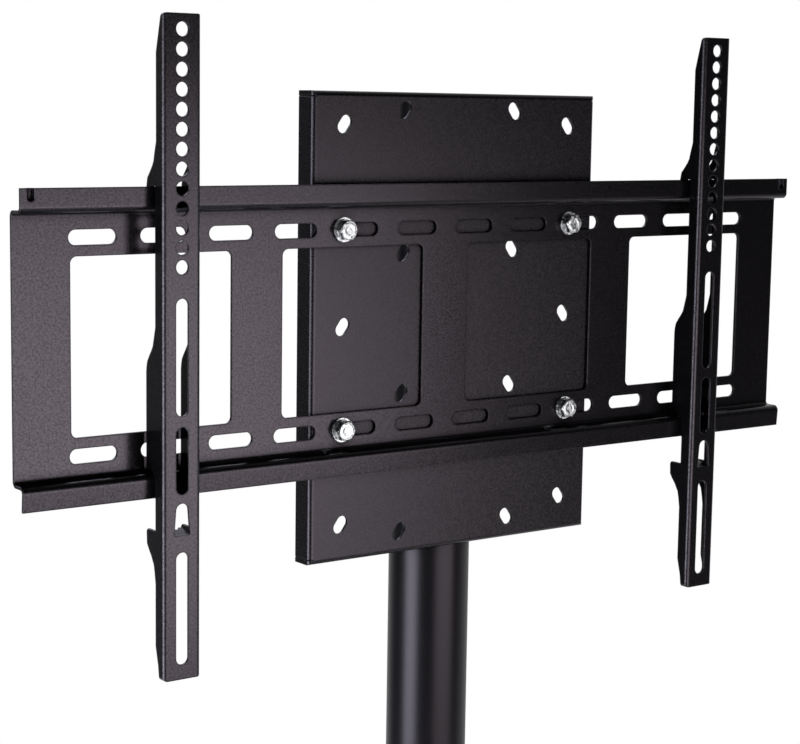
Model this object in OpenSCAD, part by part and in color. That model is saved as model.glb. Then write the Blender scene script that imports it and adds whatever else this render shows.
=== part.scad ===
// Free-standing television stand: a slotted plate with two hook-on arms,
// bolted to a sheet-metal box on a telescopic round pole with a flat base.
// Millimetres. +Z is up and the screen side is -Y.
// The origin is on the floor, on the axis of the pole.

/* [Height] */
// Height of the middle of the wall plate above the floor
mount_h = 1300; // [1150:10:1500]
// Travel of the inner tube each way from the height shown
lift_travel = 220; // [120:10:240]

/* [Wall plate] */
// Width of the slotted wall plate
plate_w = 672; // [655:1:700]
// Sheet thickness of the wall plate
plate_t = 2; // [1.5:0.1:2.5]
// Height from the middle of the rails to the inner face of each rail shelf
shelf_z = 84.5; // [83:0.5:90]
// Distance from the front of the plate to the front of the rail lips
lip_off = 13.2; // [12:0.1:14]
// Height of a lip beyond its shelf's inner face
lip_h = 15.85; // [14:0.05:18]
// Inside radius of the plate's bends
plate_bend_r = 2.2; // [1:0.1:3]
// Width of one window in the plate
window_w = 118.3; // [100:0.1:122]
// Height of one window in the plate
window_h = 115.3; // [100:0.1:118]
// Corner radius of the windows
window_r = 4.5; // [2:0.5:8]
// Pitch of the adjustment slots along the plate
slot_pitch = 51; // [49:0.5:53]
// Length of an adjustment slot
slot_l = 34; // [28:0.5:38]
// Width of an adjustment slot
slot_w = 9.7; // [9:0.1:11]
// Height of each row of slots from the middle of the plate
slot_row_z = 69.6; // [68:0.1:72]

/* [Adapter box] */
// Width of the adapter box
box_w = 253.5; // [240:0.5:270]
// Height of the adapter box
box_h = 328; // [324:1:350]
// Depth of the adapter box over its front sheet
box_d = 17.6; // [16:0.1:24]
// Sheet thickness of the adapter box
box_t = 2; // [1.5:0.1:2.5]
// Inside radius of the bends of the box
box_bend_r = 1.4; // [0.5:0.1:2.5]
// Length of a slanted slot in the box
slant_l = 13.5; // [11:0.5:15]
// Width of a slanted slot in the box
slant_w = 8.9; // [7:0.1:9.5]
// Distance from a side of the box to its outer slot columns
column_edge = 26.15; // [20:0.05:29]
// Distance from the middle of the box to its inner slot columns
column_in = 49.5; // [45:0.1:60]

/* [Arms] */
// Width of an arm
arm_w = 27.4; // [26:0.1:30]
// Height of an arm
arm_h = 428.9; // [424:0.1:450]
// Sheet thickness of an arm
arm_t = 1.8; // [1.5:0.1:2.2]
// Distance from the front of the wall plate to the front of the arms
arm_off = 25.9; // [25.5:0.1:28]
// Place of the left arm along the plate, from the middle of the plate
left_arm_x = -230.5; // [-300:0.5:-140]
// Place of the right arm along the plate, from the middle of the plate
right_arm_x = 239.5; // [150:0.5:300]
// Diameter of the round holes in an arm
arm_hole_d = 9.2; // [7:0.1:10]
// Pitch of the round holes in an arm
arm_hole_pitch = 12.45; // [12:0.01:12.6]

/* [Pole] */
// Outside diameter of the inner tube
pole_d = 60; // [50:1:64]
// Wall of the inner tube
pole_wall = 2; // [1.5:0.1:3]
// Wall of the outer tube
outer_wall = 2.5; // [2:0.1:4]
// Wall of the guide bush between the tubes
bush_wall = 2.2; // [1.5:0.1:4]
// Running gap round the inner tube
slide_gap = 0.3; // [0.2:0.05:0.5]

/* [Base] */
// Width of the base plate
base_w = 720; // [710:10:900]
// Depth of the base plate
base_d = 500; // [400:10:700]
// Thickness of the base plate
base_t = 6; // [5:0.5:12]
// Corner radius of the base plate
base_r = 60; // [20:5:100]
// Diameter of a foot
foot_d = 40; // [30:1:60]
// Height of a foot
foot_h = 10; // [8:0.5:16]
// Distance from the edges of the base plate to the middle of a foot
foot_inset = 55; // [40:1:80]

/* [Hidden] */

$fn = 64;

// Overrun of a cut past the face that it leaves
over = 1;
// Gap between two pieces that are fitted tight
fit_gap = 0.1;
// Gap between two pieces that move past each other
run_gap = 0.3;
steel = "#2b292c";
steel_cool = "#26262c";
zinc = "#b9bcc0";
rubber = "#1c1c1d";
nylon = "#3a3a3d";

// Bolts of the wall plate
bolt_d = 8;
bolt_hole_d = 9;
bolt_head_w = 13;
bolt_head_h = 4.6;
head_chamfer = 0.9;
washer_d = 17;
washer_t = 1.2;
spring_d = 14.6;
spring_t = 1.6;
spring_slit = 1.5;
spring_slit_turn = 55;
nut_h = 6.5;
nut_ring_h = 1.5;
bolt_tail = 2.5;

// Places of the wall plate and the adapter box
box_rear_y = -(pole_d / 2 + fit_gap);
box_front_y = box_rear_y - box_t;
plate_y = box_front_y - plate_t;
// The middle of the box sits this far from the axis of the pole
box_x = -2.2;
// The bolts sit at the left ends of the outermost slots whose washers lie flat on the box
washer_reach = washer_d / 2 + box_bend_r + box_t;
bolt_slots = floor((box_w / 2 - washer_reach) / slot_pitch);
bolt_x = bolt_slots * slot_pitch;
plate_x = box_x - (slot_pitch / 2 - (slot_l - slot_w) / 2);
// The middle of the rails is this much above the middle of the slots and windows
rail_rise = 1;
lip_top = rail_rise + shelf_z + lip_h;
lip_bottom = rail_rise - shelf_z - lip_h;
// The lower lip leans back towards the plate by this angle
lip_lean = 4;

// Windows and slots of the wall plate
window_n = 4;
window_web = (plate_w - window_n * window_w) / (window_n + 1);
slot_n = 12;
// Pressed end stops in the upper lip
stop_inset = 7;
stop_dent_r = 2.4;
stop_wall = 1.8;
stop_h = 6;

// Slanted slots of the adapter box
column_out = box_w / 2 - column_edge;
slant_angle = 54;
slot_rise = 2;
row_out = 139.6;
row_in = 50;
row_far = 150;
// The lower flange is cut out round the pole with this gap
pole_notch_gap = 0.5;
// Open seam in each corner of the tray, between a side flange and an end flange
seam_gap = 0.6;

// Saddles between the adapter box and the inner tube
saddle_t = 4;
saddle_z = 105;
saddle_reach = 8;
saddle_cheek = 14;
saddle_slope = 38;

// Outline of an arm, heights from the middle of the wall plate
arm_top = 209.8;
arm_bottom = arm_top - arm_h;
arm_bend_r = 0.9;
arm_corner_r = 2.5;
// Depth of the arm's side walls behind its front face
wall_d = 11;
top_d = 9.7;
nose_d = 3.5;
hook_d = 22.1;
block_d = 22.9;
tooth_d = 22.7;
tail_d = 6.5;
rest_d = arm_off - lip_off - run_gap;
nose_h = 24.4;
hook_rise = 28.5;
hook_tip_gap = 2;
hook_tip_taper = 2;
block_rise_top = 11.7;
block_rise = 29.6;
block_gap = 1.2;
rest_flat_h = 1;
rest_taper_h = 12;
tooth_drop = 21.5;
tooth_h = 35;
tail_h = 22;
// Shares of a shoulder's height and of its swell, from its start
hook_shares = [[0, 0], [0.27, 0.18], [0.44, 0.27], [0.54, 0.40], [0.62, 0.54],
               [0.72, 0.73], [0.81, 0.91], [1, 1]];
block_shares = [[0, 0], [0.21, 0.14], [0.42, 0.28], [0.53, 0.46], [0.65, 0.69],
                [0.77, 0.89], [0.88, 0.96], [1, 1]];
tooth_shares = [[0, 0.88], [0.05, 1], [0.28, 0.97], [0.37, 0.79], [0.49, 0.49],
                [0.58, 0.33], [0.64, 0.21], [0.78, 0.11], [1, 0]];
tail_shares = [[0, 0], [0.33, 0.42], [0.56, 0.72], [1, 1]];

// Holes of an arm
arm_hole_n = 13;
arm_hole_first = 9.86;
arm_slot_w = arm_hole_d;
long_slot_gap = 15.4;
long_slot_l = 75.9;
short_slot_gap = 7;
short_slot_l = 44;
arch_gap = 5.9;
arch_h = 20.7;
arch_w = 11.7;
tail_slot_gap = 11.5;
tail_slot_l = 74.8;
tab_l = 9;
tab_side = 1;
tab_angle = 20;
tab_notch_r = 2;

// Tubes, bush and collar
pole_r = pole_d / 2;
bush_r = pole_r + slide_gap;
outer_bore_r = bush_r + bush_wall;
outer_r = outer_bore_r + outer_wall;
collar_gap = 1.5;
collar_top = mount_h - box_h / 2 - lift_travel - collar_gap;
collar_cap_t = 4;
collar_h = 56;
collar_wall = 10;
collar_chamfer = 3;
bush_flange_t = 3;
bush_h = 60;
outer_top = collar_top - collar_cap_t - bush_flange_t;
ring_h = 40;
ring_lip_t = 3;
ring_lip_w = 2;
ring_stop_gap = 1;
ring_z = outer_top - bush_h - ring_stop_gap - lift_travel - ring_h;
cap_t = 3;
cap_plug_h = 12;
inner_top = mount_h + box_h / 2 - box_t - box_bend_r - cap_t;

// Clamp at the back of the collar
knob_z = collar_top - collar_h / 2;
boss_d = 28;
boss_l = 14;
boss_end_y = outer_r + collar_wall + boss_l;
stud_d = 10;
stud_pass_gap = 0.4;
pad_d = 8;
pad_t = 2.5;
pad_y = pole_r + slide_gap;
knob_d = 56;
knob_h = 22;
knob_gap = 6;
knob_lobes = 5;
knob_scallop_r = 12;
knob_scallop_share = 1.22;
knob_hub_d = 24;
knob_hub_h = 4;
knob_cap_r = 3;
grub_d = 6;
grub_l = 9;
grub_drop = 12;

// Flange, bolts and cover at the foot of the pole
base_top = foot_h + base_t;
flange_r = 85;
flange_t = 8;
sleeve_wall = 5;
sleeve_h = 30;
flange_bolt_r = 65;
flange_bolt_d = 10;
flange_bolt_w = 17;
flange_bolt_h = 6.4;
flange_washer_d = 20;
flange_washer_t = 2;
flange_bolt_n = 4;
flange_bolt_turn = 45;
flange_chamfer = 1.5;
thread_gap = 0.1;
cover_r = 105;
cover_h = 46;
cover_wall = 2;
cover_steps = 20;
foot_taper = 3;
foot_screw_d = 6;
foot_head_d = 12;
foot_head_h = 4;
foot_recess = 5;

// Solid from a front view outline, between two depths
module front_solid(y_front, y_rear) {
    translate([0, y_rear, 0])
        rotate([90, 0, 0])
            linear_extrude(y_rear - y_front)
                children();
}

// Solid from a side view outline, between two places across the width
module side_solid(x_left, x_right) {
    translate([x_left, 0, 0])
        rotate([90, 0, 90])
            linear_extrude(x_right - x_left)
                children();
}

// Shape with round ends, lying across, centred
module slot_outline(l, w) {
    straight = l - w;
    translate([-straight / 2, -w / 2])
        square([straight, w]);
    for (side = [-1, 1])
        translate([side * straight / 2, 0])
            circle(d = w);
}

// Rectangle with round corners, centred
module round_rect(w, h, r) {
    square([w - 2 * r, h], center = true);
    square([w, h - 2 * r], center = true);
    for (x = [-1, 1], y = [-1, 1])
        translate([x * (w / 2 - r), y * (h / 2 - r)])
            circle(r = r);
}

// Quarter of a sheet bend, in the quadrant that the two signs name
module bend(r, t, sx, sy) {
    scale_x = sx > 0 ? 0 : 1;
    mirror([scale_x, 0])
        mirror([0, sy > 0 ? 0 : 1])
            intersection() {
                difference() {
                    circle(r = r + t);
                    circle(r = r);
                }
                square(r + t);
            }
}

// Ring on the Y axis, between two depths
module ring_y(r_out, r_in, y_front, y_rear) {
    front_solid(y_front, y_rear)
        difference() {
            circle(r = r_out);
            circle(r = r_in);
        }
}

// Ring on the Z axis, between two heights
module ring_z_axis(r_out, r_in, z_low, z_high) {
    translate([0, 0, z_low])
        linear_extrude(z_high - z_low)
            difference() {
                circle(r = r_out);
                circle(r = r_in);
            }
}

// Hexagonal head on the Z axis with its outer edge chamfered
module hex_head(w, h, chamfer) {
    corner_r = w / 2 / cos(30);
    intersection() {
        cylinder(r = corner_r, h = h, $fn = 6);
        union() {
            cylinder(r = corner_r + over, h = h - chamfer);
            translate([0, 0, h - chamfer])
                cylinder(r1 = corner_r, r2 = corner_r - chamfer * sqrt(3), h = chamfer);
        }
    }
}

// Puts its children at the four bolts of the wall plate
module at_plate_bolts() {
    for (x = [-1, 1], z = [-1, 1])
        translate([box_x + x * bolt_x, 0, mount_h + z * slot_row_z])
            children();
}

// Puts its children at the bolts of the pole flange
module at_flange_bolts() {
    for (i = [0 : flange_bolt_n - 1])
        rotate([0, 0, flange_bolt_turn + i * 360 / flange_bolt_n])
            translate([flange_bolt_r, 0, 0])
                children();
}

// Puts its children at the four feet
module at_feet() {
    for (x = [-1, 1], y = [-1, 1])
        translate([x * (base_w / 2 - foot_inset), y * (base_d / 2 - foot_inset), 0])
            children();
}

// Rounded steel plate that the stand rests on
module base_plate() {
    color(steel)
        difference() {
            translate([0, 0, foot_h])
                linear_extrude(base_t)
                    round_rect(base_w, base_d, base_r);
            at_flange_bolts()
                cylinder(r = flange_bolt_d / 2 + thread_gap, h = base_top + over);
            at_feet()
                cylinder(r = foot_screw_d / 2 + thread_gap, h = base_top + over);
        }
}

// Rubber foot under a corner, with a recess for its screw
module foot(side_x, side_y) {
    color(rubber)
        translate([side_x * (base_w / 2 - foot_inset), side_y * (base_d / 2 - foot_inset), 0])
            difference() {
                cylinder(r1 = foot_d / 2 - foot_taper, r2 = foot_d / 2, h = foot_h);
                translate([0, 0, -over])
                    cylinder(r = foot_head_d / 2 + run_gap, h = foot_recess + over);
                cylinder(r = foot_screw_d / 2 + fit_gap, h = foot_h + over);
            }
}

module foot_front_left() { foot(-1, -1); }
module foot_front_right() { foot(1, -1); }
module foot_rear_left() { foot(-1, 1); }
module foot_rear_right() { foot(1, 1); }

// Screws that hold the feet, from below into the base plate
module foot_screws() {
    color(zinc)
        at_feet() {
            translate([0, 0, foot_recess - foot_head_h])
                cylinder(d = foot_head_d, h = foot_head_h);
            translate([0, 0, foot_recess])
                cylinder(d = foot_screw_d, h = base_top - foot_recess - fit_gap);
        }
}

// Disc and sleeve that carry the outer tube
module pole_flange() {
    color(steel)
        difference() {
            translate([0, 0, base_top])
                union() {
                    cylinder(r = flange_r, h = flange_t - flange_chamfer);
                    translate([0, 0, flange_t - flange_chamfer])
                        cylinder(r1 = flange_r, r2 = flange_r - flange_chamfer, h = flange_chamfer);
                    cylinder(r = outer_r + sleeve_wall, h = flange_t + sleeve_h);
                }
            translate([0, 0, base_top + flange_t])
                cylinder(r = outer_r + fit_gap, h = sleeve_h + over);
            at_flange_bolts()
                cylinder(r = flange_bolt_d / 2 + slide_gap, h = base_top + flange_t + over);
        }
}

// Washers under the heads of the flange bolts
module flange_washers() {
    color(zinc)
        at_flange_bolts()
            ring_z_axis(flange_washer_d / 2, flange_bolt_d / 2 + slide_gap,
                        base_top + flange_t, base_top + flange_t + flange_washer_t);
}

// Bolts that hold the flange to the base plate
module flange_bolts() {
    head_z = base_top + flange_t + flange_washer_t;
    color(zinc)
        at_flange_bolts() {
            translate([0, 0, head_z])
                hex_head(flange_bolt_w, flange_bolt_h, head_chamfer);
            translate([0, 0, foot_h])
                cylinder(d = flange_bolt_d, h = head_z - foot_h);
        }
}

// Height and radius of the cover's shell, along a quarter of an ellipse
function cover_curve(r_low, h, r_high) =
    [for (i = [0 : cover_steps])
        let (a = 90 * i / cover_steps)
        [r_high + (r_low - r_high) * cos(a), h * sin(a)]];

// Dished cover over the flange and its bolts
module base_cover() {
    r_high = outer_r + run_gap;
    shell = cover_curve(cover_r, cover_h, r_high);
    hollow = cover_curve(cover_r - cover_wall, cover_h - cover_wall, r_high);
    inward = [for (i = [cover_steps : -1 : 0]) hollow[i]];
    color(steel)
        translate([0, 0, base_top])
            rotate_extrude()
                polygon(concat(shell, inward));
}

// Lower tube of the pole, with a hole for the clamp's stud
module outer_tube() {
    tube_z = base_top + flange_t;
    color(steel_cool)
        difference() {
            ring_z_axis(outer_r, outer_bore_r, tube_z, outer_top);
            translate([0, 0, knob_z])
                front_solid(0, outer_r + over)
                    circle(r = stud_d / 2 + stud_pass_gap);
        }
}

// Plastic bush that guides the inner tube at the mouth of the outer tube
module guide_bush() {
    color(nylon)
        difference() {
            union() {
                ring_z_axis(outer_bore_r - fit_gap, bush_r, outer_top - bush_h, outer_top);
                ring_z_axis(outer_r, bush_r, outer_top, outer_top + bush_flange_t);
            }
            translate([0, 0, knob_z])
                front_solid(0, outer_r + over)
                    circle(r = stud_d / 2 + stud_pass_gap);
        }
}

// Collar round the top of the outer tube, with the clamp's boss at the back
module clamp_collar() {
    collar_r = outer_r + collar_wall;
    lip_r = pole_r + 2 * slide_gap;
    bore_top = collar_top - collar_cap_t;
    outline = [[outer_r + fit_gap, collar_top - collar_h],
               [collar_r - collar_chamfer, collar_top - collar_h],
               [collar_r, collar_top - collar_h + collar_chamfer],
               [collar_r, collar_top - collar_chamfer],
               [collar_r - collar_chamfer, collar_top],
               [lip_r, collar_top],
               [lip_r, bore_top],
               [outer_r + fit_gap, bore_top]];
    color(steel)
        difference() {
            union() {
                rotate_extrude()
                    polygon(outline);
                translate([0, 0, knob_z])
                    front_solid(outer_r + collar_wall / 2, boss_end_y)
                        circle(d = boss_d);
            }
            translate([0, 0, knob_z])
                front_solid(0, boss_end_y + over)
                    circle(r = stud_d / 2 + thread_gap);
            for (side = [-1, 1])
                translate([0, 0, knob_z - grub_drop])
                    rotate([0, 90 * side, 0])
                        cylinder(r = grub_d / 2 + thread_gap, h = collar_r + over);
        }
}

// Two grub screws that pin the collar to the outer tube
module collar_grub_screws() {
    color(zinc)
        for (side = [-1, 1])
            translate([side * (outer_r + fit_gap), 0, knob_z - grub_drop])
                rotate([0, 90 * side, 0])
                    cylinder(d = grub_d, h = grub_l);
}

// Lobed hand knob behind the collar
module clamp_knob() {
    knob_y = boss_end_y + knob_gap;
    color(nylon)
        translate([0, 0, knob_z])
            difference() {
                union() {
                    front_solid(knob_y, knob_y + knob_h)
                        difference() {
                            circle(d = knob_d);
                            for (i = [0 : knob_lobes - 1])
                                rotate(i * 360 / knob_lobes)
                                    translate([0, knob_d / 2 * knob_scallop_share])
                                        circle(r = knob_scallop_r);
                        }
                    front_solid(knob_y - knob_hub_h, knob_y)
                        circle(d = knob_hub_d);
                    front_solid(knob_y + knob_h, knob_y + knob_h + knob_cap_r)
                        circle(d = knob_hub_d);
                }
                front_solid(knob_y - knob_hub_h - over, knob_y + knob_h)
                    circle(r = stud_d / 2 + fit_gap);
            }
}

// Threaded stud of the knob
module clamp_stud() {
    color(zinc)
        translate([0, 0, knob_z])
            front_solid(pad_y + pad_t, boss_end_y + knob_gap + knob_h)
                circle(d = stud_d);
}

// Soft pad on the tip of the stud, which bears on the inner tube
module pressure_pad() {
    color(rubber)
        translate([0, 0, knob_z])
            front_solid(pad_y, pad_y + pad_t)
                circle(d = pad_d);
}

// Upper tube of the pole, which slides in the outer tube
module inner_tube() {
    color(steel_cool)
        ring_z_axis(pole_r, pole_r - pole_wall, ring_z + ring_lip_t, inner_top);
}

// Plastic ring round the lower end of the inner tube
module glide_ring() {
    outline = [[pole_r - ring_lip_w, ring_z],
               [outer_bore_r - slide_gap, ring_z],
               [outer_bore_r - slide_gap, ring_z + ring_h],
               [pole_r + fit_gap / 2, ring_z + ring_h],
               [pole_r + fit_gap / 2, ring_z + ring_lip_t],
               [pole_r - ring_lip_w, ring_z + ring_lip_t]];
    color(nylon)
        rotate_extrude()
            polygon(outline);
}

// Plug that closes the top of the inner tube
module pole_cap() {
    color(nylon)
        union() {
            translate([0, 0, inner_top])
                cylinder(r = pole_r, h = cap_t);
            ring_z_axis(pole_r - pole_wall - fit_gap, pole_r - 2 * pole_wall - fit_gap,
                        inner_top - cap_plug_h, inner_top);
        }
}

// Section of a tray's block: l across, d deep, with its two front corners rounded
module tray_profile(l, d, r) {
    translate([-l / 2, r])
        square([l, d - r]);
    translate([-(l / 2 - r), 0])
        square([l - 2 * r, d]);
    for (side = [-1, 1])
        translate([side * (l / 2 - r), r])
            circle(r = r);
}

// Block with all four edges of its front face rounded
module tray_block(w, h, d, r) {
    intersection() {
        translate([0, 0, -h / 2])
            linear_extrude(h)
                tray_profile(w, d, r);
        side_solid(-w / 2, w / 2)
            rotate(90)
                mirror([0, 1])
                    tray_profile(h, d, r);
    }
}

// One slanted slot of the box, leaning towards the side that its sign names
module slant_slot(x, z) {
    lean = x < 0 ? slant_angle : -slant_angle;
    translate([x, z])
        rotate(lean)
            slot_outline(slant_l, slant_w);
}

// Sheet-metal tray behind the wall plate, open at the back
module adapter_box() {
    color(steel)
        difference() {
            translate([box_x, box_front_y, mount_h])
                tray_block(box_w, box_h, box_d, box_bend_r + box_t);
            translate([box_x, box_rear_y, mount_h])
                tray_block(box_w - 2 * box_t, box_h - 2 * box_t, box_d, box_bend_r);
            translate([box_x, 0, mount_h])
                front_solid(box_front_y - over, box_rear_y + over) {
                    for (x = [-1, 1]) {
                        for (z = [-row_out, 0, row_out])
                            slant_slot(x * column_out, slot_rise + z);
                        for (z = [-row_far, -row_in, row_in, row_far])
                            slant_slot(x * column_in, slot_rise + z);
                        for (z = [-slot_row_z, slot_row_z])
                            translate([x * bolt_x, z])
                                circle(d = bolt_hole_d);
                    }
                }
            translate([0, 0, mount_h - box_h / 2 - over])
                cylinder(r = pole_r + pole_notch_gap, h = over + box_t + box_bend_r);
            translate([box_x, 0, mount_h])
                for (x = [0, 1], z = [0, 1])
                    mirror([x, 0, 0])
                        mirror([0, 0, z])
                            corner_seam();
        }
}

// Cut of the seam in the upper right corner of the tray
module corner_seam() {
    corner = box_bend_r + box_t;
    front_solid(box_front_y - over, box_front_y + box_d + over)
        translate([box_w / 2 - corner, box_h / 2 - corner - seam_gap])
            square([corner + over, seam_gap]);
}

// Cross plate welded between the box and the inner tube
module saddle(z) {
    half = box_w / 2 - box_t - fit_gap;
    front = box_rear_y + fit_gap;
    rear = box_front_y + box_d;
    outline = [[box_x - half + box_bend_r, front], [box_x + half - box_bend_r, front],
               [box_x + half, front + box_bend_r], [box_x + half, rear],
               [pole_r + saddle_cheek + saddle_slope, rear],
               [pole_r + saddle_cheek, saddle_reach],
               [-(pole_r + saddle_cheek), saddle_reach],
               [-(pole_r + saddle_cheek + saddle_slope), rear],
               [box_x - half, rear], [box_x - half, front + box_bend_r]];
    color(steel)
        translate([0, 0, z - saddle_t / 2])
            linear_extrude(saddle_t)
                difference() {
                    polygon(outline);
                    circle(r = pole_r + fit_gap);
                    translate([-(pole_r + fit_gap), 0])
                        square([2 * (pole_r + fit_gap), saddle_reach + over]);
                }
}

module upper_saddle() { saddle(mount_h + saddle_z); }
module lower_saddle() { saddle(mount_h - saddle_z); }

// Upper half of the plate's bent section, depth across and height up, its lip leaning back
module rail_section(lean) {
    out_r = plate_bend_r + plate_t;
    reach = 2 * out_r;
    lip_rear = -lip_off + plate_t;
    square([plate_t, shelf_z - plate_bend_r]);
    translate([-plate_bend_r, shelf_z - plate_bend_r])
        bend(plate_bend_r, plate_t, 1, 1);
    translate([lip_rear + plate_bend_r, shelf_z])
        square([lip_off - plate_t - 2 * plate_bend_r, plate_t]);
    translate([lip_rear + plate_bend_r, shelf_z + out_r]) {
        intersection() {
            difference() {
                circle(r = out_r);
                circle(r = plate_bend_r);
            }
            polygon([[0, 0], [0, -reach], [-reach, -reach], [-reach, reach * tan(lean)]]);
        }
        rotate(-lean)
            translate([-out_r, 0])
                square([plate_t, lip_h - out_r]);
    }
}

// Upright rod with a ball end, which runs down from the top of the upper lip
module stop_rod(side, r, top_z) {
    translate([side * (plate_w / 2 - stop_inset), -lip_off, lip_top - stop_h]) {
        cylinder(r = r, h = stop_h + top_z);
        sphere(r = r);
    }
}

// Bulge behind the lip, where its stop is pressed
module stop_bulge(side) {
    bulge_r = stop_dent_r + stop_wall;
    intersection() {
        stop_rod(side, bulge_r, 0);
        translate([side * (plate_w / 2 - stop_inset) - bulge_r, -lip_off + plate_t / 2, 0])
            cube([2 * bulge_r, bulge_r, lip_top]);
    }
}

// Plate with a rail along its upper and lower edges, four windows and two rows of slots
module wall_plate() {
    color(steel)
        translate([plate_x, plate_y, mount_h])
            difference() {
                union() {
                    side_solid(-plate_w / 2, plate_w / 2)
                        translate([0, rail_rise]) {
                            rail_section(0);
                            mirror([0, 1])
                                rail_section(lip_lean);
                        }
                    for (side = [-1, 1])
                        stop_bulge(side);
                }
                for (side = [-1, 1])
                    stop_rod(side, stop_dent_r, over);
                front_solid(-over, plate_t + over) {
                    for (i = [0 : window_n - 1])
                        translate([(i - (window_n - 1) / 2) * (window_w + window_web), 0])
                            round_rect(window_w, window_h, window_r);
                    for (i = [0 : slot_n - 1], z = [-1, 1])
                        translate([(i - (slot_n - 1) / 2) * slot_pitch, z * slot_row_z])
                            slot_outline(slot_l, slot_w);
                }
            }
}

// Flat washers between the wall plate and the bolts
module front_washers() {
    color(zinc)
        at_plate_bolts()
            ring_y(washer_d / 2, bolt_d / 2 + slide_gap, plate_y - washer_t, plate_y);
}

// Split spring washers under the bolt heads
module spring_washers() {
    rear = plate_y - washer_t;
    color(zinc)
        at_plate_bolts()
            difference() {
                ring_y(spring_d / 2, bolt_d / 2 + fit_gap, rear - spring_t, rear);
                translate([0, rear - spring_t - over, 0])
                    rotate([0, spring_slit_turn, 0])
                        cube([spring_slit, spring_t + 2 * over, spring_d]);
            }
}

// Hexagon bolts through the wall plate and the adapter box
module plate_bolts() {
    head_rear = plate_y - washer_t - spring_t;
    tail = box_rear_y + washer_t + nut_h + nut_ring_h + bolt_tail;
    color(zinc)
        at_plate_bolts() {
            translate([0, head_rear, 0])
                rotate([90, 0, 0])
                    hex_head(bolt_head_w, bolt_head_h, head_chamfer);
            front_solid(head_rear, tail)
                circle(d = bolt_d);
        }
}

// Flat washers behind the front sheet of the adapter box
module rear_washers() {
    color(zinc)
        at_plate_bolts()
            ring_y(washer_d / 2, bolt_d / 2 + slide_gap, box_rear_y, box_rear_y + washer_t);
}

// Lock nuts on the bolts inside the adapter box
module lock_nuts() {
    nut_y = box_rear_y + washer_t;
    color(zinc)
        at_plate_bolts()
            difference() {
                union() {
                    translate([0, nut_y, 0])
                        rotate([-90, 0, 0])
                            hex_head(bolt_head_w, nut_h, head_chamfer);
                    front_solid(nut_y, nut_y + nut_h + nut_ring_h)
                        circle(d = bolt_head_w - 2 * head_chamfer);
                }
                front_solid(nut_y - over, nut_y + nut_h + nut_ring_h + over)
                    circle(r = bolt_d / 2 + thread_gap);
            }
}

// Points of a shoulder: a height that falls from z_start, and a depth that swells
function shoulder(shares, z_start, fall, d_start, swell) =
    [for (s = shares) [d_start + swell * s[1], z_start - fall * s[0]]];

// Side view of an arm: depth behind its front face, and height
module arm_side_outline() {
    lip_rear_d = arm_off - lip_off + plate_t + run_gap;
    notch_top = lip_top + run_gap;
    hook_tip_z = rail_rise + shelf_z + plate_t + hook_tip_gap;
    block_bottom = rail_rise - shelf_z + block_gap;
    rest_z = rail_rise - shelf_z - plate_bend_r - plate_t - rest_flat_h;
    tooth_z = lip_bottom - tooth_drop;
    top_run = [[0, arm_top], [nose_d, arm_top], [top_d, arm_top - nose_h]];
    hook_run = concat(
        shoulder(hook_shares, lip_top + hook_rise, hook_rise, top_d, hook_d - top_d),
        [[hook_d, hook_tip_z + hook_tip_taper], [hook_d - hook_tip_taper, hook_tip_z],
         [lip_rear_d, hook_tip_z], [lip_rear_d, notch_top], [wall_d, notch_top]]);
    block_run = concat(
        shoulder(block_shares, block_rise_top, block_rise, wall_d, block_d - wall_d),
        [[block_d, block_bottom], [rest_d, block_bottom], [rest_d, rest_z],
         [wall_d, rest_z - rest_taper_h]]);
    tooth_run = concat(
        [[wall_d, tooth_z]],
        shoulder(tooth_shares, tooth_z, tooth_h, wall_d, tooth_d - wall_d));
    tail_run = concat(
        shoulder(tail_shares, arm_bottom + tail_h, tail_h, wall_d, tail_d - wall_d),
        [[0, arm_bottom]]);
    polygon(concat(top_run, hook_run, block_run, tooth_run, tail_run));
}

// Channel section of an arm: front face and two side walls
module arm_section() {
    out_r = arm_bend_r + arm_t;
    depth = max(block_d, hook_d, tooth_d) + over;
    translate([-(arm_w / 2 - out_r), 0])
        square([arm_w - 2 * out_r, arm_t]);
    for (side = [-1, 1]) {
        translate([side * (arm_w / 2 - out_r), out_r])
            bend(arm_bend_r, arm_t, side, -1);
        translate([side * (arm_w / 2 - arm_t / 2), (depth + out_r) / 2])
            square([arm_t, depth - out_r], center = true);
    }
}

// Holes down the front face of an arm, from its top
module arm_holes() {
    last_hole = arm_top - arm_hole_first - (arm_hole_n - 1) * arm_hole_pitch;
    long_top = last_hole - arm_hole_d / 2 - long_slot_gap;
    short_top = long_top - long_slot_l - short_slot_gap;
    arch_top = short_top - short_slot_l - arch_gap;
    tail_top = arch_top - arch_h - tail_slot_gap;
    for (i = [0 : arm_hole_n - 1])
        translate([0, last_hole + i * arm_hole_pitch])
            circle(d = arm_hole_d);
    for (run = [[long_top, long_slot_l], [short_top, short_slot_l], [tail_top, tail_slot_l]])
        translate([0, run[0] - run[1] / 2])
            rotate(90)
                slot_outline(run[1], arm_slot_w);
    translate([0, arch_top - arm_slot_w / 2])
        circle(d = arm_slot_w);
    polygon([[-arm_slot_w / 2, arch_top - arm_slot_w / 2], [arm_slot_w / 2, arch_top - arm_slot_w / 2],
             [arch_w / 2, arch_top - arch_h], [-arch_w / 2, arch_top - arch_h]]);
}

// Height of the sill of the arch-shaped hole
function arch_sill() =
    arm_top - arm_hole_first - (arm_hole_n - 1) * arm_hole_pitch - arm_hole_d / 2
    - long_slot_gap - long_slot_l - short_slot_gap - short_slot_l - arch_gap - arch_h;

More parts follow.
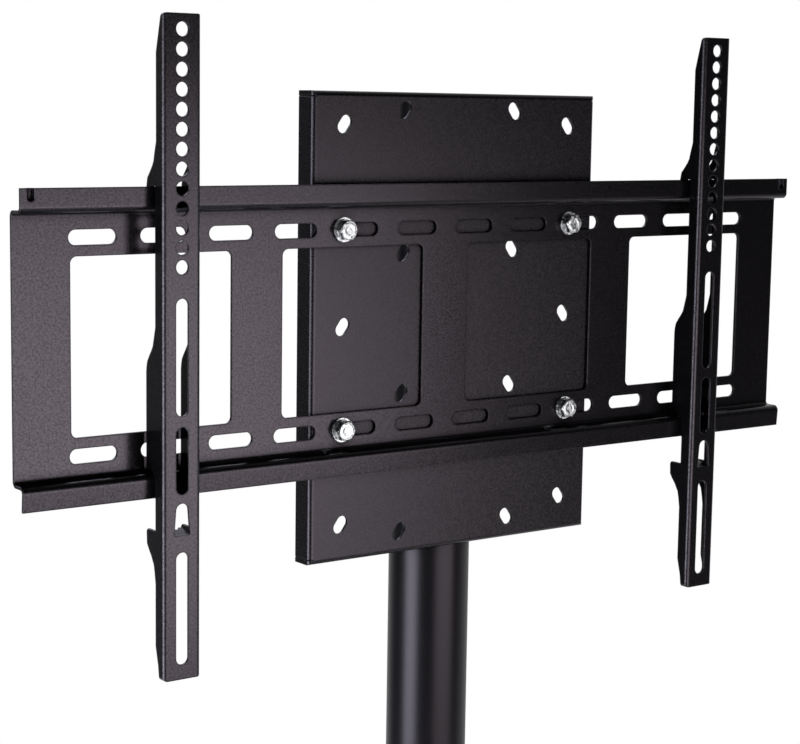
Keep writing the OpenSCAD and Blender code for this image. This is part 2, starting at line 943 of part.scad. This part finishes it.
// Tab turned inwards from the sill of the arch, with a half-round notch in its end
module arm_tab() {
    tab_w = arch_w - 2 * tab_side;
    translate([0, arm_t / 2, arch_sill()])
        rotate([tab_angle, 0, 0])
            translate([0, 0, -arm_t])
                linear_extrude(arm_t)
                    difference() {
                        translate([-tab_w / 2, 0])
                            square([tab_w, tab_l]);
                        translate([0, tab_l])
                            circle(r = tab_notch_r);
                    }
}

// Vertical arm that hooks over the rails of the wall plate
module arm(x) {
    color(steel)
        translate([plate_x + x, plate_y - arm_off, mount_h])
            union() {
                difference() {
                    intersection() {
                        translate([0, 0, arm_bottom - over])
                            linear_extrude(arm_h + 2 * over)
                                arm_section();
                        side_solid(-arm_w, arm_w)
                            arm_side_outline();
                        front_solid(-over, block_d + 2 * over)
                            translate([0, (arm_top + arm_bottom) / 2])
                                round_rect(arm_w, arm_h, arm_corner_r);
                    }
                    front_solid(-over, arm_t + over)
                        arm_holes();
                }
                arm_tab();
            }
}

module left_arm() { arm(left_arm_x); }
module right_arm() { arm(right_arm_x); }

base_plate();
foot_front_left();
foot_front_right();
foot_rear_left();
foot_rear_right();
foot_screws();
pole_flange();
flange_washers();
flange_bolts();
base_cover();
outer_tube();
guide_bush();
clamp_collar();
collar_grub_screws();
clamp_knob();
clamp_stud();
pressure_pad();
inner_tube();
glide_ring();
pole_cap();
adapter_box();
upper_saddle();
lower_saddle();
wall_plate();
front_washers();
spring_washers();
plate_bolts();
rear_washers();
lock_nuts();
left_arm();
right_arm();
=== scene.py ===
import math

import bmesh
import bpy
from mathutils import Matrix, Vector


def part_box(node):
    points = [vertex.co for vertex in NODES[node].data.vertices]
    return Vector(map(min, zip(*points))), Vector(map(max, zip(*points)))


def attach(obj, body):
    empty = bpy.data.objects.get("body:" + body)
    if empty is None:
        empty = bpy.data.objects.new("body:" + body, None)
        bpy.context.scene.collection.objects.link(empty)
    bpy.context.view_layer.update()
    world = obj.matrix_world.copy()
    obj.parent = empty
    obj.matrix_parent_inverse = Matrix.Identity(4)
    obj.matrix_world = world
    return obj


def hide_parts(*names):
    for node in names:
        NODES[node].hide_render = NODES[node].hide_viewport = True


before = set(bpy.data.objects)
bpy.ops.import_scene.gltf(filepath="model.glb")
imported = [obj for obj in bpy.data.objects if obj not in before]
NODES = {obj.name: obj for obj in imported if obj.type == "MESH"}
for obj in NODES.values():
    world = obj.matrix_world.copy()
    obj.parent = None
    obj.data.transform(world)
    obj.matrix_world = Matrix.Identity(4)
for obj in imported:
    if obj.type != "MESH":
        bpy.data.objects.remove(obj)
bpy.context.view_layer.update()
SCENE = bpy.context.scene
UP = Vector((0.0, 0.0, 1.0))
WHITE = (1.0, 1.0, 1.0)

# Camera: its place in metres, and its turn about X, Y and Z in degrees
CAMERA_PLACE = (-0.873887, -1.147814, 1.452584)
CAMERA_TURN = (82.40172, -0.86545, -36.29104)
CAMERA_SENSOR = 36.0
CAMERA_NEAR = 0.05
CAMERA_FAR = 60.0
# The photograph's size, focal length and optical middle, in pixels
PHOTO_W = 800.0
PHOTO_H = 744.0
PHOTO_FOCAL = 1969.406
PHOTO_MIDDLE_X = 401.977
PHOTO_MIDDLE_Y = 371.331

# The way from the object to the lit backdrop, which gloss shows
BACKDROP = (0.743, 0.669, 0.0)
# Cosines of the angle off that way at which the backdrop begins and is fully lit
BACKDROP_BEGINS = 0.05
BACKDROP_FULL = 0.71
# Brightness of that backdrop, and of the floor in front of it
SWEEP = 0.57
# Light from all other sides
DIM = 0.010
DIM_COLOUR = (0.82, 0.82, 1.0)
# The floor, the distances over which it turns from pale to white, and the share of white where it is pale
FLOOR_R = 9.0
FLOOR_SIDES = 96
FLOOR_COLOUR = (0.86, 0.86, 0.86)
FLOOR_PALE_R = 0.55
FLOOR_WHITE_R = 1.5
FLOOR_WHITE_SHARE = 0.55
# A softbox is three panes: their distance, and how far they differ in size for each width of soft edge
PANE_STEP = 0.004
PANE_GROWTH = 1.1

# The part of a noise's values that a grain uses
GRAIN_RANGE = (0.3, 0.7)
# The darkest and the lightest black of the coats, and the tint of their shine
BLACK = (0.0028, 0.0026, 0.0030)
BLACK_LIT = (0.0042, 0.0039, 0.0045)
SHINE_TINT = (1.0, 0.86, 1.0, 1.0)
# Spread of a coat's roughness, depth of its grain, and how open a place is where painted shade is full and
# gone
COAT_SPREAD = 0.03
GRAIN_DEPTH = 0.00015
# Painted shade: the coats' shine is darkened in crevices and between parts, the more closed in the darker
PAINTED_SHADE_FULL_AT = 0.50
PAINTED_SHADE_GONE_AT = 0.82
ZINC_DULL = (0.42, 0.42, 0.43)
ZINC_BRIGHT = (0.90, 0.90, 0.91)
POLYMER_SPREAD = 0.06
# For each coat: roughness, strength of the grain, level of the shine and share of its glints, radius
# that punched edges are rounded by, and distance within which painted shade darkens the shine in crevices
COATS = {
    "sheet": dict(gloss=0.20, grain=0.14, shine=0.50, glints=0.34, edge=0.0014, shade=0.008),
    "box": dict(gloss=0.27, grain=0.07, shine=0.50, glints=0.14, edge=0.0008, shade=0.018),
    "tube": dict(gloss=0.32, grain=0.04, shine=0.30, glints=0.06, edge=0.0006, shade=0.010),
    "base": dict(gloss=0.62, grain=0.30, shine=0.22, glints=0.25, edge=0.0012, shade=0.010)}
# Nodes that each material covers
COVERED = {
    "sheet": ("wall_plate", "left_arm", "right_arm"),
    "box": ("pole_flange", "base_cover", "clamp_collar", "adapter_box", "upper_saddle",
            "lower_saddle"),
    "tube": ("outer_tube", "inner_tube"),
    "base": ("base_plate",),
    "zinc": ("foot_screws", "flange_washers", "flange_bolts", "collar_grub_screws", "clamp_stud",
             "front_washers", "spring_washers", "plate_bolts", "rear_washers", "lock_nuts"),
    "rubber": ("foot_front_left", "foot_front_right", "foot_rear_left", "foot_rear_right",
               "pressure_pad"),
    "nylon": ("guide_bush", "clamp_knob", "glide_ring", "pole_cap")}

# Sizes that the CAD model has too, in metres
POLE_R = 0.030
BOLT_R = 0.004
HEAD_FLAT_R = 0.0065
HEAD_CORNER_R = HEAD_FLAT_R / math.cos(math.radians(30.0))
SADDLE_HALF_T = 0.002
SADDLE_REACH = 0.008
SHEET_T = 0.002
SEAM_DOWN = 0.0037
KNOB_R = 0.028
KNOB_LOBES = 5
SCALLOP_R = 0.012
SCALLOP_AT = KNOB_R * 1.22
GRUB_R = 0.003
GRUB_L = 0.009
FOOT_HEAD_R = 0.006
FOOT_SHANK_R = 0.003
FOOT_SHANK_FROM = 0.005

# Threads: the ridge's root, and half its width at the root and the crest as shares of the pitch
THREAD_PITCH = 0.00125
THREAD_H = 0.00022
THREAD_ROOT = -0.00005
THREAD_ROOT_HALF = 0.42
THREAD_CREST_HALF = 0.08
THREAD_SIDES = 28
# Sides over which a thread rises at its ends, and its distance from the shank's end and the nut
THREAD_RISE = 10.0
THREAD_END_GAP = 0.0001
# Profiles as radius and place along the axis: the rim from the head's face, the insert from the nut's end
HEAD_RIM = ((0.0024, 0.00002), (0.0030, -0.00004), (0.0036, -0.00011), (0.0044, -0.00013),
            (0.0051, -0.00010), (0.0056, 0.00002))
NUT_INSERT = ((0.00425, -0.0002), (0.00425, 0.00035), (0.0048, 0.0005), (0.0053, 0.00025),
              (0.0053, -0.0002))

# Weld beads: step along the path, ripples, slower unevenness, and the rise of their round ends in steps
BEAD_STEP = 0.0007
BEAD_SIDES = 12
RIPPLE_LENGTH = 0.0022
RIPPLE_HEIGHT = 0.13
UNEVEN_RATE = 310.0
UNEVEN_HEIGHT = 0.06
BEAD_END_STEPS = 3.0
BEAD_END_FROM = 0.35
# Beads round the pole: the stretch in front that they leave out, in half turns, how much of the saddle's
# reach past the pole's middle they follow, and how far they stand off the pole and the saddle
POLE_BEAD_R = 0.0019
POLE_BEAD_ENDS = (1.36, 1.64)
POLE_BEAD_SHARE = 0.8
POLE_BEAD_OFF = 0.0007
SADDLE_BEAD_OFF = 0.0005
# Short beads between saddle and tray: length, distance from the saddle's side and off the tray
TACK_BEAD_R = 0.0017
TACK_L = 0.028
TACK_IN = 0.030
TACK_OFF = 0.0006
TACK_PHASE = 90.0
# Beads along the tray's corner seams: distance inwards in sheet thicknesses, start and added length
SEAM_BEAD_R = 0.0016
SEAM_BEAD_IN = 1.3
SEAM_BEAD_FROM = 0.0005
SEAM_BEAD_MORE = 0.0012
SEAM_PHASE = 70.0
# Filler rods inside the seams
FILLER_R = 0.0009
FILLER_SIDES = 16
FILLER_IN = 0.0011
FILLER_FROM = 0.0028
FILLER_END_GAP = 0.0002

# Hand knob: points round it, how many of them soften a corner on each side, radius and length of its hub,
# length of its cap, and rounding of its lobes towards the hub and the cap
KNOB_POINTS = 200
KNOB_SOFT = 4
HUB_R = 0.012
HUB_L = 0.004
KNOB_CAP_L = 0.003
HUB_SIDE_ROUND = 0.0035
CAP_SIDE_ROUND = 0.005

# Screws with a hexagonal socket
SCREW_POINTS = 48
CHAMFER = 0.0004
GRUB_CHAMFER_L = 0.0005


# Camera

def make_camera():
    data = bpy.data.cameras.new("camera")
    cam = bpy.data.objects.new("camera", data)
    SCENE.collection.objects.link(cam)
    cam.location = CAMERA_PLACE
    cam.rotation_euler = [math.radians(a) for a in CAMERA_TURN]
    data.sensor_fit = "HORIZONTAL"
    data.sensor_width = CAMERA_SENSOR
    data.lens = CAMERA_SENSOR * PHOTO_FOCAL / PHOTO_W
    data.shift_x = -(PHOTO_MIDDLE_X - PHOTO_W / 2.0) / PHOTO_W
    data.shift_y = (PHOTO_MIDDLE_Y - PHOTO_H / 2.0) / PHOTO_W
    data.clip_start = CAMERA_NEAR
    data.clip_end = CAMERA_FAR
    SCENE.camera = cam


# Shader nodes

# Node with its attributes, and its sockets set to a value or fed by another node's output
def node(tree, kind, sockets=None, **attributes):
    made = tree.nodes.new(kind)
    for key, value in attributes.items():
        setattr(made, key, value)
    for key, value in (sockets or {}).items():
        if isinstance(value, bpy.types.NodeSocket):
            tree.links.new(value, made.inputs[key])
        else:
            made.inputs[key].default_value = value
    return made


# Product of two values
def times(tree, first, second):
    return node(tree, "ShaderNodeMath", {0: first, 1: second}, operation="MULTIPLY").outputs["Value"]


# Value carried over from one range to another
def ramp(tree, value, low, high, out_low, out_high, way="LINEAR"):
    sockets = {"Value": value, "From Min": low, "From Max": high, "To Min": out_low, "To Max": out_high}
    return node(tree, "ShaderNodeMapRange", sockets, interpolation_type=way).outputs["Result"]


def noise(tree, vector, scale, detail):
    sockets = {"Vector": vector, "Scale": scale, "Detail": detail}
    return node(tree, "ShaderNodeTexNoise", sockets).outputs["Fac"]


def bump(tree, height, strength, distance, normal=None):
    sockets = {"Height": height, "Strength": strength, "Distance": distance}
    if normal is not None:
        sockets["Normal"] = normal
    return node(tree, "ShaderNodeBump", sockets).outputs["Normal"]


def mix_colour(tree, share, low, high):
    sockets = {"Factor": share, "A": (*low, 1.0), "B": (*high, 1.0)}
    return node(tree, "ShaderNodeMix", sockets, data_type="RGBA").outputs["Result"]


def mix_shader(tree, share, first, second):
    return node(tree, "ShaderNodeMixShader", {"Fac": share, 1: first, 2: second}).outputs["Shader"]


def background(tree, colour, strength):
    sockets = {"Color": (*colour, 1.0), "Strength": strength}
    return node(tree, "ShaderNodeBackground", sockets).outputs["Background"]


# One on the side of the lit backdrop, falling softly to zero on the other side
def lit_side(tree, place):
    ahead = node(tree, "ShaderNodeVectorMath", {0: place}, operation="NORMALIZE").outputs["Vector"]
    towards = node(tree, "ShaderNodeVectorMath", {0: ahead, 1: BACKDROP}, operation="DOT_PRODUCT")
    return ramp(tree, towards.outputs["Value"], BACKDROP_BEGINS, BACKDROP_FULL, 0.0, 1.0, "SMOOTHSTEP")


# Light and surroundings

def area_light(name, place, target, wide, high, radiance, colour):
    data = bpy.data.lights.new(name, "AREA")
    data.shape = "RECTANGLE"
    data.size = wide
    data.size_y = high
    data.energy = radiance * math.pi * wide * high
    data.color = colour
    lamp = bpy.data.objects.new(name, data)
    SCENE.collection.objects.link(lamp)
    lamp.location = place
    lamp.rotation_euler = (Vector(target) - Vector(place)).to_track_quat("-Z", "Y").to_euler()


# A softbox whose light falls off towards its edges: three panes, one in front of the other
def softbox(name, place, target, wide, high, radiance, colour, soft_wide, soft_high):
    step = (Vector(target) - Vector(place)).normalized() * PANE_STEP
    for i, share in enumerate((1.0, 0.0, -1.0)):
        w = wide + PANE_GROWTH * soft_wide * share
        h = high + PANE_GROWTH * soft_high * share
        area_light(f"{name}_{i}", Vector(place) + step * i, Vector(target) + step * i, w, h,
                   radiance / 3.0, colour)


def make_lights():
    softbox("front_softbox", place=(0.52, -2.60, 0.768), target=(0.52, 0.0, 0.768), wide=2.52, high=1.15,
            radiance=3.35, colour=WHITE, soft_wide=0.33, soft_high=0.26)
    softbox("left_softbox", place=(-2.1, -0.15, 0.81), target=(0.0, -0.15, 0.81), wide=1.25, high=1.42,
            radiance=9.2, colour=(0.87, 0.95, 1.0), soft_wide=0.35, soft_high=0.30)
    area_light("rear_softbox", place=(0.3, 2.6, 3.0), target=(0.0, 0.7, 0.2), wide=3.0, high=1.8,
               radiance=1.6, colour=(0.80, 0.82, 1.0))


# White for the camera, and a dim room with a lit backdrop for the object
def make_world():
    world = bpy.data.worlds.new("studio")
    SCENE.world = world
    world.use_nodes = True
    tree = world.node_tree
    tree.nodes.clear()
    rays = node(tree, "ShaderNodeLightPath").outputs
    ways = node(tree, "ShaderNodeTexCoord").outputs["Generated"]
    mirrored = times(tree, rays["Is Glossy Ray"], lit_side(tree, ways))
    room = mix_shader(tree, mirrored, background(tree, DIM_COLOUR, DIM), background(tree, WHITE, SWEEP))
    seen = mix_shader(tree, rays["Is Camera Ray"], room, background(tree, WHITE, 1.0))
    node(tree, "ShaderNodeOutputWorld", {"Surface": seen})


# A material's empty tree, and the place on the object that its textures follow
def new_material(name):
    mat = bpy.data.materials.new(name)
    mat.use_nodes = True
    tree = mat.node_tree
    tree.nodes.clear()
    return mat, tree, node(tree, "ShaderNodeTexCoord").outputs["Object"]


# Pale floor that turns white for the camera, and lit in front of the backdrop for gloss
def floor_material():
    mat, tree, place = new_material("floor")
    away = node(tree, "ShaderNodeVectorMath", {0: place}, operation="LENGTH").outputs["Value"]
    fade = ramp(tree, away, FLOOR_PALE_R, FLOOR_WHITE_R, FLOOR_WHITE_SHARE, 1.0, "SMOOTHSTEP")
    rays = node(tree, "ShaderNodeLightPath").outputs
    seen = times(tree, rays["Is Camera Ray"], fade)
    mirrored = times(tree, rays["Is Glossy Ray"], lit_side(tree, place))
    shares = node(tree, "ShaderNodeMath", {0: mirrored, 1: SWEEP, 2: seen}, operation="MULTIPLY_ADD")
    pale = node(tree, "ShaderNodeBsdfDiffuse", {"Color": (*FLOOR_COLOUR, 1.0)}).outputs["BSDF"]
    white = node(tree, "ShaderNodeEmission", {"Color": (*WHITE, 1.0), "Strength": 1.0})
    surface = mix_shader(tree, shares.outputs["Value"], pale, white.outputs["Emission"])
    node(tree, "ShaderNodeOutputMaterial", {"Surface": surface})
    return mat


def make_floor():
    mesh = bpy.data.meshes.new("floor")
    bm = bmesh.new()
    bmesh.ops.create_circle(bm, cap_ends=True, segments=FLOOR_SIDES, radius=FLOOR_R)
    bm.to_mesh(mesh)
    bm.free()
    floor = bpy.data.objects.new("floor", mesh)
    SCENE.collection.objects.link(floor)
    mesh.materials.append(floor_material())


# Materials

def finish_material(tree, sockets):
    surface = node(tree, "ShaderNodeBsdfPrincipled", sockets).outputs["BSDF"]
    node(tree, "ShaderNodeOutputMaterial", {"Surface": surface})


# Satin black powder coat with a fine grain, drawn round over punched edges, with painted shade on its
# shine in crevices
def powder_coat(name, gloss, grain, shine, glints, edge, shade):
    mat, tree, place = new_material(name)
    fine = noise(tree, place, scale=1500.0, detail=2.0)
    orange_peel = noise(tree, place, scale=700.0, detail=1.0)
    broad = noise(tree, place, scale=9.0, detail=3.0)
    spread = ramp(tree, broad, 0.35, 0.65, 0.0, 1.0)
    glint = ramp(tree, orange_peel, *GRAIN_RANGE, (1.0 - glints) * shine, (1.0 + glints) * shine)
    # Painted shade: an ambient-occlusion node darkens the shine in crevices and between parts; clear is
    # the share left unshaded
    painted_crevice_shade = node(tree, "ShaderNodeAmbientOcclusion", {"Distance": shade}, samples=4)
    clear = ramp(tree, painted_crevice_shade.outputs["AO"], PAINTED_SHADE_FULL_AT, PAINTED_SHADE_GONE_AT, 0.0, 1.0)
    rounded = node(tree, "ShaderNodeBevel", {"Radius": edge}, samples=3)
    finish_material(tree, {
        "Base Color": mix_colour(tree, spread, BLACK, BLACK_LIT),
        "Roughness": ramp(tree, orange_peel, *GRAIN_RANGE, gloss - COAT_SPREAD, gloss + COAT_SPREAD),
        "Specular IOR Level": times(tree, glint, clear),
        "Specular Tint": SHINE_TINT,
        "Normal": bump(tree, fine, grain, GRAIN_DEPTH, rounded.outputs["Normal"])})
    return mat


def plated_zinc(name):
    mat, tree, place = new_material(name)
    spots = noise(tree, place, scale=420.0, detail=3.0)
    patches = ramp(tree, spots, 0.35, 0.6, 0.0, 1.0)
    finish_material(tree, {
        "Base Color": mix_colour(tree, patches, ZINC_DULL, ZINC_BRIGHT),
        "Metallic": 1.0,
        "Roughness": ramp(tree, spots, *GRAIN_RANGE, 0.18, 0.38),
        "Normal": bump(tree, spots, strength=0.6, distance=0.0004)})
    return mat


def plain_polymer(name, dark, light, rough, scale, strength):
    mat, tree, place = new_material(name)
    grain = noise(tree, place, scale, detail=3.0)
    finish_material(tree, {
        "Base Color": mix_colour(tree, grain, dark, light),
        "Roughness": ramp(tree, grain, *GRAIN_RANGE, rough - POLYMER_SPREAD, rough + POLYMER_SPREAD),
        "Normal": bump(tree, grain, strength, distance=0.0003)})
    return mat


def dress(names, mat):
    for name in names:
        materials = NODES[name].data.materials
        if not materials:
            materials.append(mat)
        for i in range(len(materials)):
            materials[i] = mat


def make_materials():
    mats = {name: powder_coat(name + "_coat", **coat) for name, coat in COATS.items()}
    mats["zinc"] = plated_zinc("zinc")
    mats["rubber"] = plain_polymer("rubber", dark=(0.012, 0.012, 0.012), light=(0.022, 0.022, 0.022),
                                   rough=0.75, scale=300.0, strength=0.3)
    mats["nylon"] = plain_polymer("nylon", dark=(0.015, 0.015, 0.016), light=(0.026, 0.026, 0.028),
                                  rough=0.55, scale=700.0, strength=0.35)
    for name, covered in COVERED.items():
        dress(covered, mats[name])
    return mats


# Modelled details

def add_piece(name, bm, body, mat, smooth_angle=35.0):
    bmesh.ops.recalc_face_normals(bm, faces=bm.faces[:])
    mesh = bpy.data.meshes.new(name)
    bm.to_mesh(mesh)
    bm.free()
    mesh.materials.append(mat)
    mesh.shade_smooth()
    mesh.set_sharp_from_angle(angle=math.radians(smooth_angle))
    piece = bpy.data.objects.new(name, mesh)
    SCENE.collection.objects.link(piece)
    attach(piece, body)
    return piece


# Joins rings of points, each of the same count, into a skin
def skin(bm, rings, cap_first=False, cap_last=False):
    rows = [[bm.verts.new(p) for p in ring] for ring in rings]
    count = len(rows[0])
    for a, b in zip(rows, rows[1:]):
        for i in range(count):
            j = (i + 1) % count
            bm.faces.new((a[i], a[j], b[j], b[i]))
    if cap_first:
        bm.faces.new(rows[0])
    if cap_last:
        bm.faces.new(rows[-1])


# Cosine and sine of the angle at point i of a round of so many points
def circle(count, i):
    a = 2.0 * math.pi * i / count
    return math.cos(a), math.sin(a)


# Ring of points round an axis along Y
def ring_y(x, y, z, radius, count=48):
    turns = [circle(count, i) for i in range(count)]
    return [Vector((x + radius * c, y, z + radius * s)) for c, s in turns]


# Helical ridge on a bolt's shank along Y
def thread(bm, x, z, y_low, y_high):
    total = int((y_high - y_low) / THREAD_PITCH * THREAD_SIDES)
    rows = []
    for i in range(total + 1):
        c, s = circle(THREAD_SIDES, i)
        y = y_low + THREAD_PITCH * i / THREAD_SIDES
        crest = THREAD_H * min(1.0, i / THREAD_RISE, (total - i) / THREAD_RISE)
        row = []
        for along, out in ((-THREAD_ROOT_HALF, THREAD_ROOT), (-THREAD_CREST_HALF, crest),
                           (THREAD_CREST_HALF, crest), (THREAD_ROOT_HALF, THREAD_ROOT)):
            at = min(max(y + along * THREAD_PITCH, y_low), y_high)
            row.append(bm.verts.new((x + (BOLT_R + out) * c, at, z + (BOLT_R + out) * s)))
        rows.append(row)
    for a, b in zip(rows, rows[1:]):
        for i in range(3):
            bm.faces.new((a[i], a[i + 1], b[i + 1], b[i]))


# Rippled weld bead along a level path; phase shifts its unevenness
def bead(bm, path, radius, phase):
    rings = []
    run = 0.0
    for i, p in enumerate(path):
        before = path[max(0, i - 1)]
        after = path[min(len(path) - 1, i + 1)]
        side = (after - before).normalized().cross(UP)
        run += (p - before).length
        ripple = RIPPLE_HEIGHT * abs(math.sin(run * math.pi / RIPPLE_LENGTH))
        uneven = UNEVEN_HEIGHT * math.sin(run * UNEVEN_RATE + phase)
        end = min(1.0, (min(i, len(path) - 1 - i) + BEAD_END_FROM) / BEAD_END_STEPS)
        r = radius * (1.0 + ripple + uneven) * math.sqrt(end)
        turns = [circle(BEAD_SIDES, k) for k in range(BEAD_SIDES)]
        rings.append([p + r * (c * side + s * UP) for c, s in turns])
    skin(bm, rings, True, True)


# The middles of the four bolts of the wall plate
def bolt_places():
    low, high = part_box("plate_bolts")
    return [(x, z) for x in (low[0] + HEAD_CORNER_R, high[0] - HEAD_CORNER_R)
            for z in (low[2] + HEAD_FLAT_R, high[2] - HEAD_FLAT_R)]


def make_bolt_details(mats):
    low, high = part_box("plate_bolts")
    nut_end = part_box("lock_nuts")[1][1]
    threads, rims, inserts = bmesh.new(), bmesh.new(), bmesh.new()
    for x, z in bolt_places():
        thread(threads, x, z, nut_end + THREAD_END_GAP, high[1] - THREAD_END_GAP)
        skin(rims, [ring_y(x, low[1] + y, z, r) for r, y in HEAD_RIM])
        skin(inserts, [ring_y(x, nut_end + y, z, r) for r, y in NUT_INSERT])
    add_piece("bolt_threads", threads, "mast", mats["zinc"])
    add_piece("bolt_head_rims", rims, "mast", mats["zinc"], 60.0)
    add_piece("nut_inserts", inserts, "mast", mats["nylon"], 50.0)


# Welds that join the saddles to the pole and to the tray
def make_welds(mats):
    bm = bmesh.new()
    r = POLE_R + POLE_BEAD_OFF
    start = POLE_BEAD_SHARE * math.asin(SADDLE_REACH / POLE_R)
    arcs = ((math.pi - start, math.pi * POLE_BEAD_ENDS[0], 1.0),
            (math.pi * POLE_BEAD_ENDS[1], 2.0 * math.pi + start, 2.0))
    tack_points = round(TACK_L / BEAD_STEP) + 1
    for saddle in ("upper_saddle", "lower_saddle"):
        low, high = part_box(saddle)
        for face in (-1.0, 1.0):
            z = (low[2] + high[2]) / 2.0 + face * (SADDLE_HALF_T + SADDLE_BEAD_OFF)
            for first, last, phase in arcs:
                steps = int(r * (last - first) / BEAD_STEP)
                turns = [first + (last - first) * i / steps for i in range(steps + 1)]
                path = [Vector((r * math.cos(a), r * math.sin(a), z)) for a in turns]
                bead(bm, path, POLE_BEAD_R, phase + face)
            for middle in (low[0] + TACK_IN, high[0] - TACK_IN):
                across = [middle - TACK_L / 2.0 + BEAD_STEP * i for i in range(tack_points)]
                path = [Vector((x, low[1] + TACK_OFF, z)) for x in across]
                bead(bm, path, TACK_BEAD_R, middle * TACK_PHASE + face)
    add_piece("weld_beads", bm, "mast", mats["box"], 40.0)


# Welds inside the tray that close the seams of its corners
def make_seam_welds(mats):
    bm = bmesh.new()
    low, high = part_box("adapter_box")
    steps = int((high[1] - low[1] + SEAM_BEAD_MORE) / BEAD_STEP)
    ends = (low[1] + FILLER_FROM, high[1] - FILLER_END_GAP)
    for edge, inwards in ((low[0], 1.0), (high[0], -1.0)):
        bead_x = edge + inwards * SEAM_BEAD_IN * SHEET_T
        rod_x = edge + inwards * FILLER_IN
        for z in (low[2] + SEAM_DOWN, high[2] - SEAM_DOWN):
            path = [Vector((bead_x, low[1] + SEAM_BEAD_FROM + BEAD_STEP * i, z)) for i in range(steps)]
            bead(bm, path, SEAM_BEAD_R, bead_x * SEAM_PHASE + z)
            skin(bm, [ring_y(rod_x, y, z, FILLER_R, FILLER_SIDES) for y in ends], True, True)
    add_piece("seam_welds", bm, "mast", mats["box"], 40.0)


# Reach of the hand knob's outline at an angle, before its corners are softened
def knob_reach(angle):
    reach = KNOB_R
    for i in range(KNOB_LOBES):
        off = angle - (math.pi / 2.0 + 2.0 * math.pi * i / KNOB_LOBES)
        across = SCALLOP_AT * math.sin(off)
        if math.cos(off) > 0.0 and abs(across) < SCALLOP_R:
            reach = min(reach, SCALLOP_AT * math.cos(off) - math.sqrt(SCALLOP_R ** 2 - across ** 2))
    return reach


def make_knob(mats):
    low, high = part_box("clamp_knob")
    stud_low, stud_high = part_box("clamp_stud")
    z = (stud_low[2] + stud_high[2]) / 2.0
    count = KNOB_POINTS
    raw = [knob_reach(2.0 * math.pi * i / count) for i in range(count)]
    near = range(-KNOB_SOFT, KNOB_SOFT + 1)
    soft = [sum(raw[(i + k) % count] for k in near) / len(near) for i in range(count)]
    hub_y, grip_y, cap_y, end_y = low[1], low[1] + HUB_L, high[1] - KNOB_CAP_L, high[1]

    def grip(y, inset, share=1.0):
        ring = []
        for i in range(count):
            c, s = circle(count, i)
            ring.append(Vector(((soft[i] - inset) * share * c, y, z + (soft[i] - inset) * share * s)))
        return ring

    # Profiles of hub and cap, as radius and place along the axis
    hub = ((0.0052, hub_y), (0.0112, hub_y), (HUB_R, hub_y + 0.0008), (HUB_R, grip_y - 0.0004))
    cap = ((0.0135, cap_y - 0.0008), (0.0122, cap_y - 0.0002), (0.0117, cap_y + 0.0018),
           (0.0102, end_y - 0.0006), (0.0070, end_y - 0.0001), (0.0030, end_y))
    bends = [math.radians(d) for d in range(0, 91, 15)]
    rings = [ring_y(0.0, y, z, r, count) for r, y in hub]
    rings += [grip(grip_y + HUB_SIDE_ROUND * (1.0 - math.cos(a)), HUB_SIDE_ROUND * (1.0 - math.sin(a)))
              for a in bends]
    rings += [grip(cap_y - CAP_SIDE_ROUND * (1.0 - math.sin(a)), CAP_SIDE_ROUND * (1.0 - math.cos(a)))
              for a in bends]
    rings.append(grip(cap_y - 0.0005, CAP_SIDE_ROUND, 0.86))
    rings += [ring_y(0.0, y, z, r, count) for r, y in cap]
    bm = bmesh.new()
    skin(bm, rings, False, True)
    piece = add_piece("knob_grip", bm, "knob", mats["nylon"], 40.0)
    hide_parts("clamp_knob")


# Round screw whose far end has a hexagonal socket; place turns across, along and up into a point
def socket_screw(bm, place, profile, socket_r, depth):
    turns = [circle(SCREW_POINTS, i) for i in range(SCREW_POINTS)]
    rings = [[place(r * c, along, r * s) for c, s in turns] for r, along in profile]
    rim = profile[-1][1]
    for along in (rim, rim - depth):
        ring = []
        for i, (c, s) in enumerate(turns):
            within = (2.0 * math.pi * i / SCREW_POINTS) % (math.pi / 3.0) - math.pi / 6.0
            r = socket_r * math.cos(math.pi / 6.0) / math.cos(within)
            ring.append(place(r * c, along, r * s))
        rings.append(ring)
    skin(bm, rings, True, True)


# Grub screws that come in along X from both sides of the collar
def make_grub_screws(mats):
    low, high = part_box("collar_grub_screws")
    z = (low[2] + high[2]) / 2.0
    bm = bmesh.new()
    profile = ((GRUB_R, high[0] - GRUB_L), (GRUB_R, high[0] - GRUB_CHAMFER_L), (GRUB_R - CHAMFER, high[0]))
    for side in (-1.0, 1.0):
        def place(across, along, up, side=side):
            return Vector((side * along, across, z + up))
        socket_screw(bm, place, profile, socket_r=0.0017, depth=0.0030)
    piece = add_piece("grub_sockets", bm, "stand", mats["zinc"])
    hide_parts("collar_grub_screws")


# Screws that hold the feet from below
def make_foot_screws(mats):
    low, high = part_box("foot_screws")
    bm = bmesh.new()
    profile = ((FOOT_SHANK_R, -high[2]), (FOOT_SHANK_R, -FOOT_SHANK_FROM), (FOOT_HEAD_R, -FOOT_SHANK_FROM),
               (FOOT_HEAD_R, -low[2] - CHAMFER), (FOOT_HEAD_R - CHAMFER, -low[2]))
    for x in (low[0] + FOOT_HEAD_R, high[0] - FOOT_HEAD_R):
        for y in (low[1] + FOOT_HEAD_R, high[1] - FOOT_HEAD_R):
            def place(across, along, up, x=x, y=y):
                return Vector((x + across, y + up, -along))
            socket_screw(bm, place, profile, socket_r=0.0023, depth=0.0022)
    piece = add_piece("foot_screw_sockets", bm, "stand", mats["zinc"])
    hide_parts("foot_screws")


make_camera()
make_lights()
make_world()
make_floor()
MATS = make_materials()
make_bolt_details(MATS)
make_welds(MATS)
make_seam_welds(MATS)
make_knob(MATS)
make_grub_screws(MATS)
make_foot_screws(MATS)
SCENE.view_settings.view_transform = "Standard"
